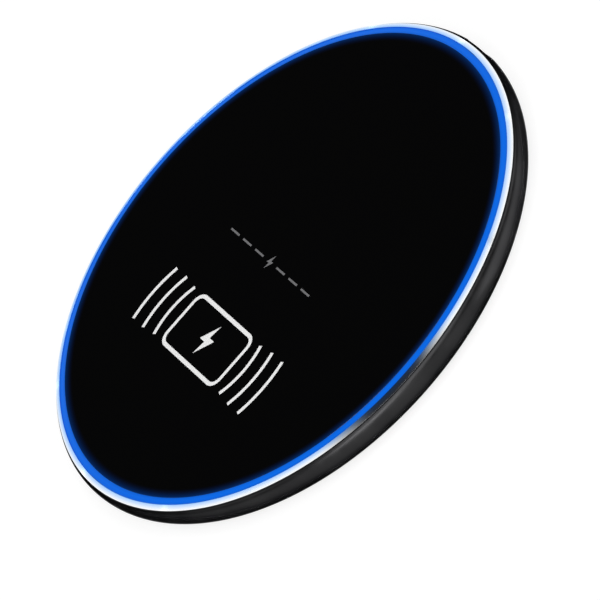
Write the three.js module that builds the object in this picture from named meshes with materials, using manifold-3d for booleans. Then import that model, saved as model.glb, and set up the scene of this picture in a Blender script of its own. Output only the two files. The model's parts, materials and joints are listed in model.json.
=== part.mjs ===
// A round wireless charging pad for a phone, 100 mm across and 7.2 mm thick, as separate pieces.
// Millimetres, +Z up. The origin is on the resting plane, under the centre of the pad.
// The USB socket faces +Y, away from the user, and the phone lies on the cover plate at the top.
import * as THREE from "three";
import { mergeVertices } from "three/addons/utils/BufferGeometryUtils.js";
import Module from "manifold-3d";

const wasm = await Module();
wasm.setup();

// ---- driving dimensions, in mm ----

const PAD_R = 50; // widest radius of the housing
const TOP_Z = 7.2; // face that the phone lies on
const ROUND_SEGMENTS = 60; // facets round every large ring
const MIDDLE_SEGMENTS = 40; // facets round the discs inside
const SMALL_SEGMENTS = 16; // facets round posts, holes and screws
const GAP = 0.05; // running gap between neighbouring pieces
const SINK = 0.5; // depth by which two joined shapes run into each other

const FOOT = { rIn: 31.7, rOut: 38.3, top: 0.88, bevel: 0.2, clear: 0.2 };
const LABEL = { r: 22, low: 0.42, top: 0.54, clear: 0.3 };
const UNDERSIDE_Z = 0.4; // lowest face of the housing and of the bottom cover
const FLOOR_Z = 1.8; // inner face of the floor
const FLANGE = { rLow: 41, rLedge: 39.2, ledge: 1.25 }; // opening in the bottom of the housing
const BELLY = { r: 45.6, z: 4.8, radius: 4.4, steps: 6 }; // round lower side of the housing
const CROWN_SHARES = [0.4, 0.75, 0.95]; // heights on the wall's upper curve, from belly to lip
const WALL = { rLow: 47, shelf: 4.3, rHigh: 48.3, step: 5.9, rLip: 48.8, lip: 6.52, rLipOut: 49.2 };
const TRIM = { rIn: 48.3, rFoot: 48.77, rOut: 49.32, low: 5.95, seam: 6.58, land: 6.64, top: 7.03 };
const GUIDE = { rIn: 44, rCollar: 45.2, rRim: 47.05, rOut: 48.25, collar: 3.6, rim: 4.4, web: 5 };
const GUIDE_SEAT_Z = 5.7; // ledge of the light guide that carries the cover plate
const GUIDE_EDGE_Z = 6.93; // outer edge of the lit ring, below its inner edge and the trim
const COVER = { r: 47, low: 5.8, bevel: 0.1 };
const COVER_TAPE = { rIn: 44.6, rOut: 46.6 };
const TRAY = { rOut: 40.9, rTop: 39.1, step: 1.2, postR: 1.5, postsAt: 30 };

const PCB = { r: 42.4, low: 2.5, top: 3.5, holeR: 2.6 };
const POSTS = { r: 36, bossR: 2.2, pilotR: 1, pilotTop: 4.9, holeR: 1.2, angles: [45, 135, 225, 315] };
const LUG = { rIn: 33.6, halfWidth: 2.5, low: 4.9 }; // flat ears that join the bosses to the guide
const SCREW = { shaftR: 0.95, headR: 1.9, headLow: 0.95, rim: 0.15, headTop: 1.45, tip: 4.6, point: 0.4 };
const RECESS = { reach: 1, half: 0.2, depth: 0.25 }; // cross recess of a screw head
const HEAD_CLEARANCE = 0.2;
const LED = { r: 41.2, width: 3, depth: 1.2, height: 0.8, window: 0.2, rim: 0.15, count: 8 };

const COIL = { rIn: 10.8, turns: 9, pitch: 1.25, width: 1, low: 4.45, height: 1, stepsPerTurn: 28 };
const FERRITE = { r: 26, low: 3.6, top: 4.4, slotWidth: 1.5, slotFrom: 6.2 };
const FERRITE_TAPE_R = 24;
const LEAD = { r: 0.3, sides: 8, angle: 20 };
const THERMISTOR = { r: 1.5, height: 0.8 };
const SPACER = { rIn: 10, rOut: 22, low: 5.5, top: 5.75 }; // foam ring over the winding

const USB = { width: 8.94, height: 3.26, wall: 0.3, mouth: 49.3, back: 40.4, z: 3.98 };
const USB_SLOT = { width: 9.3, height: 3.6, yLow: 44, yHigh: 54 }; // opening in the housing
const USB_NOTCH = { half: 4.9, yLow: 40, yHigh: 60 }; // notches that the socket passes through
const TONGUE = { width: 6.69, height: 0.7, root: 43.5, tip: 48.8 };

// ---- finishes ----

function finish(color, roughness, metalness = 0) {
  return new THREE.MeshStandardMaterial({ color, roughness, metalness });
}

const BLACK_METAL = finish(0x1c1c1d, 0.4, 0.6);
const BRIGHT_METAL = finish(0xe6e9ee, 0.12, 1);
const BLACK_GLOSS = finish(0x050506, 0.06);
const BLACK_PLASTIC = finish(0x161617, 0.6);
const LIT_BLUE = finish(0x0a66e8, 0.3);
LIT_BLUE.emissive = new THREE.Color(0x0a5cf0);
const RUBBER = finish(0x232324, 0.85);
const FILM = finish(0x2a2b2d, 0.5);
const BOARD = finish(0x0f5a34, 0.45);
const FERRITE_GREY = finish(0x35363a, 0.7);
const COPPER = finish(0xb96b35, 0.35, 0.9);
const STEEL = finish(0xb9bcc0, 0.3, 1);
const TAPE = finish(0xd8d4c4, 0.7);
const FOAM = finish(0x2b2b2d, 0.95);
const CHIP = finish(0x18191b, 0.55);
const CAPACITOR = finish(0xb08a5a, 0.5);
const LED_WHITE = finish(0xf2efd8, 0.35);

// ---- shape helpers ----

function solidOf(geometry) {
  const bare = geometry.clone();
  bare.deleteAttribute("normal");
  bare.deleteAttribute("uv");
  const merged = mergeVertices(bare, 1e-4);
  return new wasm.Manifold(
    new wasm.Mesh({
      numProp: 3,
      vertProperties: merged.attributes.position.array,
      triVerts: new Uint32Array(merged.index.array),
    }),
  );
}

function geometryOf(solid) {
  const mesh = solid.getMesh();
  const geometry = new THREE.BufferGeometry();
  geometry.setAttribute("position", new THREE.BufferAttribute(mesh.vertProperties, 3));
  geometry.setIndex(new THREE.BufferAttribute(mesh.triVerts, 1));
  geometry.computeVertexNormals();
  return geometry;
}

function cut(geometry, ...tools) {
  return geometryOf(tools.reduce((left, tool) => left.subtract(solidOf(tool)), solidOf(geometry)));
}

function join(geometry, ...others) {
  return geometryOf(others.reduce((sum, other) => sum.add(solidOf(other)), solidOf(geometry)));
}

// A solid turned about Z. Its profile holds [radius, z] and runs anticlockwise, so that the
// faces point out. A ring is closed here, and a disc's profile starts and ends on the axis.
function turned(profile, segments = ROUND_SEGMENTS) {
  const points = profile.map(([r, z]) => new THREE.Vector2(r, z));
  const first = profile[0];
  if (first[0] > 0) points.push(new THREE.Vector2(first[0], first[1]));
  return new THREE.LatheGeometry(points, segments).rotateX(Math.PI / 2);
}

function ring(rIn, rOut, low, top) {
  return turned([
    [rIn, low],
    [rOut, low],
    [rOut, top],
    [rIn, top],
  ]);
}

function disc(r, low, top, segments = ROUND_SEGMENTS) {
  return turned(
    [
      [0, low],
      [r, low],
      [r, top],
      [0, top],
    ],
    segments,
  );
}

function box(xLow, xHigh, yLow, yHigh, zLow, zHigh) {
  const geometry = new THREE.BoxGeometry(xHigh - xLow, yHigh - yLow, zHigh - zLow);
  return geometry.translate((xLow + xHigh) / 2, (yLow + yHigh) / 2, (zLow + zHigh) / 2);
}

// Moves a shape made round the origin to a radius and an angle, turned to face outwards along +X.
function atAngle(geometry, degrees, radius = 0) {
  return geometry.translate(radius, 0, 0).rotateZ(THREE.MathUtils.degToRad(degrees));
}

function polar(radius, degrees, z) {
  const angle = THREE.MathUtils.degToRad(degrees);
  return new THREE.Vector3(radius * Math.cos(angle), radius * Math.sin(angle), z);
}

// A slot with round ends in the XZ plane, drawn as a shape whose Y is the part's Z.
function stadium(width, height, outline = new THREE.Shape()) {
  const end = height / 2;
  const straight = width / 2 - end;
  outline.moveTo(-straight, -end);
  outline.lineTo(straight, -end);
  outline.absarc(straight, 0, end, -Math.PI / 2, Math.PI / 2, false);
  outline.lineTo(-straight, end);
  outline.absarc(-straight, 0, end, Math.PI / 2, (3 * Math.PI) / 2, false);
  return outline;
}

// Extrudes an XZ outline along Y, from yLow to yHigh, with its centre at the socket's height.
function alongY(outline, yLow, yHigh) {
  const settings = { depth: yHigh - yLow, bevelEnabled: false, curveSegments: 6 };
  const geometry = new THREE.ExtrudeGeometry(outline, settings);
  return geometry.rotateX(Math.PI / 2).translate(0, yHigh, USB.z);
}

function usbNotch(zLow, zHigh) {
  return box(-USB_NOTCH.half, USB_NOTCH.half, USB_NOTCH.yLow, USB_NOTCH.yHigh, zLow, zHigh);
}

// ---- outer shells ----

// The side wall: a round belly below, a slight crown above it and a lip that holds the trim.
// The ledge at the bottom opening is clamped between the tray below it and the light guide above.
function housingProfile() {
  const profile = [
    [FLANGE.rLow, UNDERSIDE_Z],
    [BELLY.r, UNDERSIDE_Z],
  ];
  for (let i = 1; i <= BELLY.steps; i++) {
    const angle = (Math.PI / 2) * (i / BELLY.steps);
    profile.push([
      BELLY.r + BELLY.radius * Math.sin(angle),
      BELLY.z - BELLY.radius * Math.cos(angle),
    ]);
  }
  const crown = WALL.lip - BELLY.z;
  const draw = PAD_R - WALL.rLipOut;
  for (const share of CROWN_SHARES) {
    const inset = draw * (1 - Math.sqrt(1 - share ** 2));
    profile.push([PAD_R - inset, BELLY.z + crown * share]);
  }
  profile.push(
    [WALL.rLipOut, WALL.lip],
    [WALL.rLip, WALL.lip],
    [WALL.rLip, WALL.step],
    [WALL.rHigh, WALL.step],
    [WALL.rHigh, WALL.shelf],
    [WALL.rLow, WALL.shelf],
    [WALL.rLow, FLOOR_Z],
    [FLANGE.rLedge, FLOOR_Z],
    [FLANGE.rLedge, FLANGE.ledge],
    [FLANGE.rLow, FLANGE.ledge],
  );
  return profile;
}

function housing() {
  const slot = stadium(USB_SLOT.width, USB_SLOT.height);
  return cut(turned(housingProfile()), alongY(slot, USB_SLOT.yLow, USB_SLOT.yHigh));
}

// A tray whose rim pulls up against the housing's ledge. Posts on it carry the board, and the
// foot, the label and the screw heads sit in its underside.
function bottomCover() {
  const tray = turned([
    [0, UNDERSIDE_Z],
    [TRAY.rOut, UNDERSIDE_Z],
    [TRAY.rOut, TRAY.step],
    [TRAY.rTop, TRAY.step],
    [TRAY.rTop, FLOOR_Z],
    [0, FLOOR_Z],
  ]);
  const posts = [0, 90, 180, 270].map((angle) =>
    atAngle(disc(TRAY.postR, FLOOR_Z - SINK, PCB.low - GAP, SMALL_SEGMENTS), angle, TRAY.postsAt),
  );
  const headR = SCREW.headR + HEAD_CLEARANCE;
  const holes = POSTS.angles.flatMap((angle) => [
    atAngle(disc(POSTS.holeR, 0, FLOOR_Z + SINK, SMALL_SEGMENTS), angle, POSTS.r),
    atAngle(disc(headR, 0, SCREW.headTop + GAP, SMALL_SEGMENTS), angle, POSTS.r),
  ]);
  return cut(
    join(tray, ...posts),
    ring(FOOT.rIn - FOOT.clear, FOOT.rOut + FOOT.clear, 0, FOOT.top + 0.02),
    disc(LABEL.r + LABEL.clear, 0, LABEL.top + 0.01),
    ...holes,
  );
}

function trimRing() {
  return turned([
    [TRIM.rIn, TRIM.low],
    [TRIM.rFoot, TRIM.low],
    [TRIM.rFoot, TRIM.seam],
    [TRIM.rOut, TRIM.seam],
    [TRIM.rOut, TRIM.land],
    [TRIM.rIn, TRIM.top],
  ]);
}

// The translucent frame: its top face is the lit ring, and its lugs carry the screw bosses.
function lightGuide() {
  const body = turned([
    [GUIDE.rIn, GUIDE.collar],
    [GUIDE.rCollar, GUIDE.collar],
    [GUIDE.rCollar, GUIDE.web],
    [GUIDE.rRim, GUIDE.web],
    [GUIDE.rRim, GUIDE.rim],
    [GUIDE.rOut, GUIDE.rim],
    [GUIDE.rOut, GUIDE_EDGE_Z],
    [GUIDE.rRim, TOP_Z],
    [GUIDE.rRim, GUIDE_SEAT_Z],
    [GUIDE.rIn, GUIDE_SEAT_Z],
  ]);
  const top = GUIDE_SEAT_Z - GAP;
  const lugs = POSTS.angles.flatMap((angle) => [
    atAngle(box(LUG.rIn, GUIDE.rIn + SINK, -LUG.halfWidth, LUG.halfWidth, LUG.low, top), angle),
    atAngle(disc(POSTS.bossR, FLOOR_Z + GAP, top, SMALL_SEGMENTS), angle, POSTS.r),
  ]);
  const pilots = POSTS.angles.map((angle) =>
    atAngle(disc(POSTS.pilotR, 0, POSTS.pilotTop, SMALL_SEGMENTS), angle, POSTS.r),
  );
  return cut(join(body, ...lugs), usbNotch(0, GUIDE_SEAT_Z + GAP), ...pilots);
}

function coverPlate() {
  return turned([
    [0, COVER.low],
    [COVER.r, COVER.low],
    [COVER.r, TOP_Z - COVER.bevel],
    [COVER.r - COVER.bevel, TOP_Z],
    [0, TOP_Z],
  ]);
}

function footRing() {
  return turned([
    [FOOT.rIn + FOOT.bevel, 0],
    [FOOT.rOut - FOOT.bevel, 0],
    [FOOT.rOut, FOOT.bevel],
    [FOOT.rOut, FOOT.top],
    [FOOT.rIn, FOOT.top],
    [FOOT.rIn, FOOT.bevel],
  ]);
}

function screw() {
  const { shaftR, headR, headLow, rim, headTop, tip, point } = SCREW;
  const { reach, half, depth } = RECESS;
  const blank = turned(
    [
      [0, headLow],
      [headR, headLow],
      [headR, headLow + rim],
      [shaftR, headTop],
      [shaftR, tip - point],
      [shaftR / 2, tip],
      [0, tip],
    ],
    SMALL_SEGMENTS,
  );
  const along = box(-reach, reach, -half, half, 0, headLow + depth);
  const across = box(-half, half, -reach, reach, 0, headLow + depth);
  return cut(blank, along, across);
}

// ---- charging coil ----

const COIL_MIDDLE_Z = COIL.low + COIL.height / 2;
const PAD_Z = PCB.top + LEAD.r + GAP; // height at which a lead's end lies on the board

class Spiral extends THREE.Curve {
  getPoint(share) {
    const turnsDone = share * COIL.turns;
    const angle = LEAD.angle + 360 * turnsDone;
    return polar(COIL.rIn + COIL.pitch * turnsDone, angle, COIL_MIDDLE_Z);
  }
}

function coilWinding() {
  const half = COIL.width / 2;
  const tall = COIL.height / 2;
  const section = new THREE.Shape();
  section.moveTo(-tall, -half);
  section.lineTo(tall, -half);
  section.lineTo(tall, half);
  section.lineTo(-tall, half);
  return new THREE.ExtrudeGeometry(section, {
    steps: COIL.turns * COIL.stepsPerTurn,
    extrudePath: new Spiral(),
    bevelEnabled: false,
  });
}

function wire(points, steps) {
  const section = new THREE.Shape();
  for (let i = 0; i < LEAD.sides; i++) {
    const angle = (2 * Math.PI * i) / LEAD.sides;
    const corner = [LEAD.r * Math.cos(angle), LEAD.r * Math.sin(angle)];
    if (i === 0) section.moveTo(...corner);
    else section.lineTo(...corner);
  }
  const extrudePath = new THREE.CatmullRomCurve3(points);
  return new THREE.ExtrudeGeometry(section, { steps, extrudePath, bevelEnabled: false });
}

// The inner end turns back under the winding and leaves along the slot in the ferrite.
function innerLead() {
  const middle = (FERRITE.low + FERRITE.top) / 2;
  return wire(
    [
      polar(COIL.rIn, LEAD.angle - 2.5, COIL_MIDDLE_Z),
      polar(9.6, LEAD.angle - 12, 4.9),
      polar(7.6, LEAD.angle - 6, 4.75),
      polar(7.2, LEAD.angle, 4.35),
      polar(9, LEAD.angle, middle),
      polar(18, LEAD.angle, middle),
      polar(26, LEAD.angle, middle),
      polar(28.5, LEAD.angle, PAD_Z),
    ],
    26,
  );
}

function outerLead() {
  const rEnd = COIL.rIn + COIL.turns * COIL.pitch;
  return wire(
    [
      polar(rEnd, LEAD.angle + 1.2, COIL_MIDDLE_Z),
      polar(rEnd + 1.6, LEAD.angle + 5, COIL_MIDDLE_Z),
      polar(26, LEAD.angle + 8, 4.85),
      polar(28, LEAD.angle + 9, 4.2),
      polar(29.6, LEAD.angle + 9, PAD_Z),
    ],
    14,
  );
}

function ferriteShield() {
  const { r, low, top, slotWidth, slotFrom } = FERRITE;
  const slot = box(slotFrom, r + 2, -slotWidth / 2, slotWidth / 2, 0, TOP_Z);
  return cut(disc(r, low, top, MIDDLE_SEGMENTS), atAngle(slot, LEAD.angle));
}

function thermistor() {
  return disc(THERMISTOR.r, FERRITE.top, FERRITE.top + THERMISTOR.height, SMALL_SEGMENTS);
}

// ---- circuit board ----

function mainBoard() {
  const holes = POSTS.angles.map((angle) =>
    atAngle(disc(PCB.holeR, 0, TOP_Z, SMALL_SEGMENTS), angle, POSTS.r),
  );
  return cut(disc(PCB.r, PCB.low, PCB.top), usbNotch(0, TOP_Z), ...holes);
}

// Block components on the board: radial and tangential size, height, and where each one stands.
const BLOCKS = [
  { name: "controller_chip", size: [6, 6, 0.9], r: 33, angle: 90, look: CHIP },
  { name: "bridge_chip_1", size: [5, 6, 1], r: 33.5, angle: 168, look: CHIP },
  { name: "bridge_chip_2", size: [5, 6, 1], r: 33.5, angle: 192, look: CHIP },
  { name: "power_inductor", size: [6.6, 6.6, 2.1], r: 34, angle: 68, look: FERRITE_GREY },
  { name: "sense_resistor", size: [3.2, 6.3, 0.7], r: 33.5, angle: 0, look: CHIP },
  { name: "crystal", size: [2.5, 3.2, 0.7], r: 31.5, angle: 104, look: STEEL },
  { name: "input_capacitor_1", size: [3.2, 1.6, 1.6], r: 37, angle: 78, look: CAPACITOR },
  { name: "input_capacitor_2", size: [3.2, 1.6, 1.6], r: 37, angle: 102, look: CAPACITOR },
  { name: "resonant_capacitor_1", size: [7.2, 5.4, 2.1], r: 33, angle: 252, look: CAPACITOR },
  { name: "resonant_capacitor_2", size: [7.2, 5.4, 2.1], r: 33, angle: 264, look: CAPACITOR },
  { name: "resonant_capacitor_3", size: [7.2, 5.4, 2.1], r: 33, angle: 276, look: CAPACITOR },
  { name: "resonant_capacitor_4", size: [7.2, 5.4, 2.1], r: 33, angle: 288, look: CAPACITOR },
];

function block({ size: [deep, wide, tall], r, angle }) {
  const shape = box(-deep / 2, deep / 2, -wide / 2, wide / 2, PCB.top, PCB.top + tall);
  return atAngle(shape, angle, r);
}

// A side-firing lamp: a body with a smaller window that faces the light guide's collar.
function led() {
  const { width, depth, height, window, rim } = LED;
  const top = PCB.top + height;
  const body = box(-depth / 2, depth / 2 - window, -width / 2, width / 2, PCB.top, top);
  const lens = box(0, depth / 2, -width / 3, width / 3, PCB.top + rim, top - rim);
  return join(body, lens);
}

// ---- USB socket ----

function usbShell() {
  const outline = stadium(USB.width, USB.height);
  outline.holes.push(stadium(USB.width - 2 * USB.wall, USB.height - 2 * USB.wall, new THREE.Path()));
  return alongY(outline, USB.back, USB.mouth);
}

function usbTongue() {
  const clearance = USB.wall + GAP;
  const base = stadium(USB.width - 2 * clearance, USB.height - 2 * clearance);
  const { width, height, root, tip } = TONGUE;
  const [low, high] = [USB.z - height / 2, USB.z + height / 2];
  const blade = box(-width / 2, width / 2, root - SINK, tip, low, high);
  return join(alongY(base, USB.back + GAP, root), blade);
}

// ---- assembly ----

const pad = new THREE.Group();

function add(name, geometry, material, degrees = 0, radius = 0) {
  const mesh = new THREE.Mesh(geometry, material);
  mesh.name = name;
  const angle = THREE.MathUtils.degToRad(degrees);
  mesh.position.set(radius * Math.cos(angle), radius * Math.sin(angle), 0);
  mesh.rotation.z = angle;
  pad.add(mesh);
}

add("housing", housing(), BLACK_METAL);
add("bottom_cover", bottomCover(), BLACK_PLASTIC);
add("trim_ring", trimRing(), BRIGHT_METAL);
add("light_guide", lightGuide(), LIT_BLUE);
add("cover_plate", coverPlate(), BLACK_GLOSS);
add("cover_adhesive", ring(COVER_TAPE.rIn, COVER_TAPE.rOut, GUIDE_SEAT_Z, COVER.low), TAPE);
add("foot_ring", footRing(), RUBBER);
add("rating_label", disc(LABEL.r, LABEL.low, LABEL.top), FILM);

add("main_board", mainBoard(), BOARD);
add("ferrite_adhesive", disc(FERRITE_TAPE_R, PCB.top, FERRITE.low, MIDDLE_SEGMENTS), TAPE);
add("ferrite_shield", ferriteShield(), FERRITE_GREY);
add("coil_winding", coilWinding(), COPPER);
add("coil_lead_inner", innerLead(), COPPER);
add("coil_lead_outer", outerLead(), COPPER);
add("thermistor", thermistor(), CHIP);
add("foam_spacer", ring(SPACER.rIn, SPACER.rOut, SPACER.low, SPACER.top), FOAM);

add("usb_shell", usbShell(), STEEL);
add("usb_tongue", usbTongue(), BLACK_PLASTIC);

for (const item of BLOCKS) add(item.name, block(item), item.look);

for (let i = 0; i < LED.count; i++) {
  add(`led_${i + 1}`, led(), LED_WHITE, (360 * (i + 0.5)) / LED.count, LED.r);
}

POSTS.angles.forEach((angle, i) => {
  add(`screw_${i + 1}`, screw(), STEEL, angle, POSTS.r);
});

export default pad;
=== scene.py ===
import json
import math

import bmesh
import bpy
from mathutils import Matrix, Vector


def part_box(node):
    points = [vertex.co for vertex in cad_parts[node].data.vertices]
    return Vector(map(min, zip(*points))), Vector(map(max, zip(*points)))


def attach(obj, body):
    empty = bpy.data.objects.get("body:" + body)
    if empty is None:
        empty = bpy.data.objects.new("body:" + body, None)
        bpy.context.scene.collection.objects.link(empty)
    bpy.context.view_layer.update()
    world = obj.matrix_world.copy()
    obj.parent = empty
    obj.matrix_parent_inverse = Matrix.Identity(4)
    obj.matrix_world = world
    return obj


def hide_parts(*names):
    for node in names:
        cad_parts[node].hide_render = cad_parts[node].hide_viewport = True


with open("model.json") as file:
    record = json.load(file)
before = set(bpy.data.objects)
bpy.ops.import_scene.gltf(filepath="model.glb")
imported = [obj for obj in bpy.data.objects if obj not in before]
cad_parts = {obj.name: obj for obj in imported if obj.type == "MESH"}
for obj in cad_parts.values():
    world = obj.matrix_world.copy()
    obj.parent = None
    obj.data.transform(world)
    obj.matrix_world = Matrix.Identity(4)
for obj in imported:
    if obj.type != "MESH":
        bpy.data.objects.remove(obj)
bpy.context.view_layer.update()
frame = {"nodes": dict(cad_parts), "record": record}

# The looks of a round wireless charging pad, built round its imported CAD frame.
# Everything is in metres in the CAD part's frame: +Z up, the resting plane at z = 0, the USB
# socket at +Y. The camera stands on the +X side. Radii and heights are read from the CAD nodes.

MM = 0.001
SEGMENTS = 256  # facets round every turned piece
SHARP_ANGLE = math.radians(32)
SOFT_ANGLE = math.radians(75)  # for thin strands that have only a few sides
SLOT_OF = {part["node"]: part["material_slot"] for part in frame["record"]["subparts"]}


# ---- sizes read from the frame ----

def low(node):
    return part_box(node)[0].z


def high(node):
    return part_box(node)[1].z


def span(node):
    """The heights of a node's underside and top."""
    return low(node), high(node)


def radius(node):
    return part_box(node)[1].x


PAD_R = radius("housing")
TOP = high("cover_plate")
UNDERSIDE = low("housing")
COVER_R = radius("cover_plate")
GUIDE_R = radius("light_guide")
TRIM_R = radius("trim_ring")
QUARTER = [math.pi / 2 * i / 8 for i in range(9)]  # angles of a quarter turn
SEAM = 0.05 * MM  # gap between rings that meet in the top face
PRINT = 0.012 * MM  # thickness of the printed marks
LIP_Z = 6.52 * MM  # top of the housing's lip
LAND_Z = 6.64 * MM  # foot of the trim ring's bevel
PCB_LOW, PCB_TOP = span("main_board")
SCREW_PLACES = [sum(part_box(f"screw_{i}"), Vector()) / 2 for i in (1, 2, 3, 4)]
USB_LOW, USB_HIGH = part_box("usb_shell")
USB_Z = (USB_LOW.z + USB_HIGH.z) / 2
USB_W = USB_HIGH.x - USB_LOW.x
USB_H = USB_HIGH.z - USB_LOW.z


# ---- mesh helpers ----

def rounded(corners, steps=6):
    """Turns corners (r, z, fillet) into an outline in which each corner is a small curve.

    A point just before and just after each curve keeps the flat faces beside it shaded flat.
    """
    beside = 1.25  # how far those points stand from the corner, in fillets
    outline = []
    for i, (r, z, fillet) in enumerate(corners):
        here = Vector((r, z))
        if fillet <= 0:
            outline.append((r, z))
            continue
        back = (Vector(corners[i - 1][:2]) - here).normalized() * fillet
        ahead = (Vector(corners[(i + 1) % len(corners)][:2]) - here).normalized() * fillet
        outline.append(tuple(here + back * beside))
        for step in range(steps + 1):
            t = step / steps
            outline.append(tuple(here + back * (1 - t) ** 2 + ahead * t ** 2))
        outline.append(tuple(here + ahead * beside))
    return outline


def linked(name, data):
    """A new object in the scene that holds a mesh, light or camera."""
    obj = bpy.data.objects.new(name, data)
    bpy.context.scene.collection.objects.link(obj)
    return obj


def mesh_object(name, points, faces):
    mesh = bpy.data.meshes.new(name)
    mesh.from_pydata(points, [], faces)
    mesh.validate()
    return linked(name, mesh)


def edited_object(name, edit):
    """An object that takes over the shape of a bmesh, which is freed."""
    mesh = bpy.data.meshes.new(name)
    edit.to_mesh(mesh)
    edit.free()
    return linked(name, mesh)


def smooth(obj, angle=SHARP_ANGLE):
    """Points the faces outwards and shades them smooth, except across sharp edges."""
    edit = bmesh.new()
    edit.from_mesh(obj.data)
    bmesh.ops.remove_doubles(edit, verts=edit.verts, dist=1e-8)
    bmesh.ops.recalc_face_normals(edit, faces=edit.faces)
    edit.to_mesh(obj.data)
    edit.free()
    obj.data.polygons.foreach_set("use_smooth", [True] * len(obj.data.polygons))
    obj.data.set_sharp_from_angle(angle=angle)
    return obj


def loft(name, loops, closed=False):
    """A skin over loops of points that all have the same count. Open ends get a flat cap."""
    count = len(loops[0])
    points = [point for loop in loops for point in loop]
    spans = len(loops) if closed else len(loops) - 1
    faces = []
    for i in range(spans):
        near, far = i * count, (i + 1) % len(loops) * count
        for j in range(count):
            k = (j + 1) % count
            faces.append((near + j, near + k, far + k, far + j))
    if not closed:
        faces.append(tuple(range(count)))
        faces.append(tuple(reversed(range(spans * count, (spans + 1) * count))))
    return smooth(mesh_object(name, points, faces))


def turned(name, outline, segments=SEGMENTS):
    """An outline of (r, z) points turned about Z. It is closed, or starts and ends on r = 0."""
    solid = outline[0][0] < 1e-9
    rim = outline[1:-1] if solid else outline
    loops = []
    for r, z in rim:
        turn = [2 * math.pi * i / segments for i in range(segments)]
        loops.append([(r * math.cos(a), r * math.sin(a), z) for a in turn])
    return loft(name, loops, closed=not solid)


def lathe(name, corners, steps=6, segments=SEGMENTS):
    """A turned piece, by the corners (r, z, fillet) of its outline."""
    return turned(name, rounded(corners, steps), segments)


def cut(obj, cutter, operation="DIFFERENCE"):
    """Takes the cutter's shape out of the object for good, or adds it, and removes the cutter."""
    boolean = obj.modifiers.new("cut", "BOOLEAN")
    boolean.operation = operation
    boolean.solver = "EXACT"
    boolean.object = cutter
    depsgraph = bpy.context.evaluated_depsgraph_get()
    result = bpy.data.meshes.new_from_object(obj.evaluated_get(depsgraph))
    obj.modifiers.clear()
    obj.data = result
    bpy.data.objects.remove(cutter)
    return smooth(obj)


def joined(name, *objects, angle=SHARP_ANGLE):
    """One object that holds the meshes of several, which are removed."""
    edit = bmesh.new()
    for obj in objects:
        edit.from_mesh(obj.data)
        bpy.data.objects.remove(obj)
    return smooth(edited_object(name, edit), angle)


def stadium(y_of, offset=0.0, steps=14):
    """The socket's outline, with round ends and grown by offset, at the y that y_of(x, z) gives."""
    end = USB_H / 2 + offset
    straight = (USB_W - USB_H) / 2
    loop = []
    for side in (1, -1):
        for i in range(steps + 1):
            angle = -math.pi / 2 + math.pi * i / steps
            x = side * (straight + end * math.cos(angle))
            z = USB_Z + side * end * math.sin(angle)
            loop.append((x, y_of(x, z), z))
    return loop


def slab(name, middle, size, bevel=0.05 * MM, segments=2):
    """A block with every edge rounded, by its middle and its size."""
    edit = bmesh.new()
    bmesh.ops.create_cube(edit, size=1)
    place = Matrix.Translation(middle) @ Matrix.Diagonal((*size, 1))
    bmesh.ops.transform(edit, matrix=place, verts=edit.verts)
    bmesh.ops.bevel(
        edit, geom=list(edit.edges), offset=bevel, segments=segments, affect="EDGES", profile=0.5
    )
    return smooth(edited_object(name, edit))


def washer(name, r_in, r_out, z_low, z_high, edge=0.0, at=(0, 0), segments=48):
    """A flat ring whose edges are rounded, or a disc if its inner radius is 0."""
    outer = [(r_out, z_low, edge), (r_out, z_high, edge)]
    inner = [(r_in, z, edge if r_in else 0) for z in (z_low, z_high)]
    obj = lathe(name, [inner[0], *outer, inner[1]], 3, segments)
    obj.data.transform(Matrix.Translation((*at, 0)))
    return obj


def drum(name, r, z_low, z_high, edge=0.0, at=(0, 0), segments=48):
    """A short upright cylinder whose rims are rounded."""
    return washer(name, 0, r, z_low, z_high, edge, at, segments)


def polar(r, degrees, z):
    angle = math.radians(degrees)
    return Vector((r * math.cos(angle), r * math.sin(angle), z))


def set_out(obj, r, degrees, z=0.0):
    """Puts a shape made round the origin at a polar place, with its +X pointing outwards."""
    turn = Matrix.Rotation(math.radians(degrees), 4, "Z")
    obj.data.transform(Matrix.Translation(polar(r, degrees, z)) @ turn)
    return obj


def swept(name, path, thickness, sides=12):
    """A round wire along a path."""
    loops = []
    side = None
    for i, point in enumerate(path):
        tangent = (path[min(i + 1, len(path) - 1)] - path[max(i - 1, 0)]).normalized()
        side = side or tangent.orthogonal()
        side = (side - tangent * side.dot(tangent)).normalized()
        other = tangent.cross(side)
        turn = [2 * math.pi * j / sides for j in range(sides)]
        loops.append(
            [point + (side * math.cos(a) + other * math.sin(a)) * thickness / 2 for a in turn]
        )
    return loft(name, loops)


def curve_through(points, steps=8):
    """A smooth curve through points, as a Catmull-Rom spline."""
    points = [Vector(point) for point in points]
    ends = [2 * points[0] - points[1], *points, 2 * points[-1] - points[-2]]
    path = []
    for a, b, c, d in zip(ends, ends[1:], ends[2:], ends[3:]):
        for i in range(steps):
            t = i / steps
            path.append(
                (2 * b + (c - a) * t + (2 * a - 5 * b + 4 * c - d) * t ** 2
                 + (3 * b - a - 3 * c + d) * t ** 3) / 2
            )
    return [*path, points[-1]]


# ---- materials ----

def add_node(tree, kind, inputs=None, output=0, **settings):
    """The output of a new node, whose inputs each get a value or are linked to a socket."""
    made = tree.nodes.new(kind)
    for name, value in settings.items():
        setattr(made, name, value)
    for key, source in (inputs or {}).items():
        if isinstance(source, bpy.types.NodeSocket):
            tree.links.new(source, made.inputs[key])
        else:
            made.inputs[key].default_value = source
    return made.outputs[output]


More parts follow.
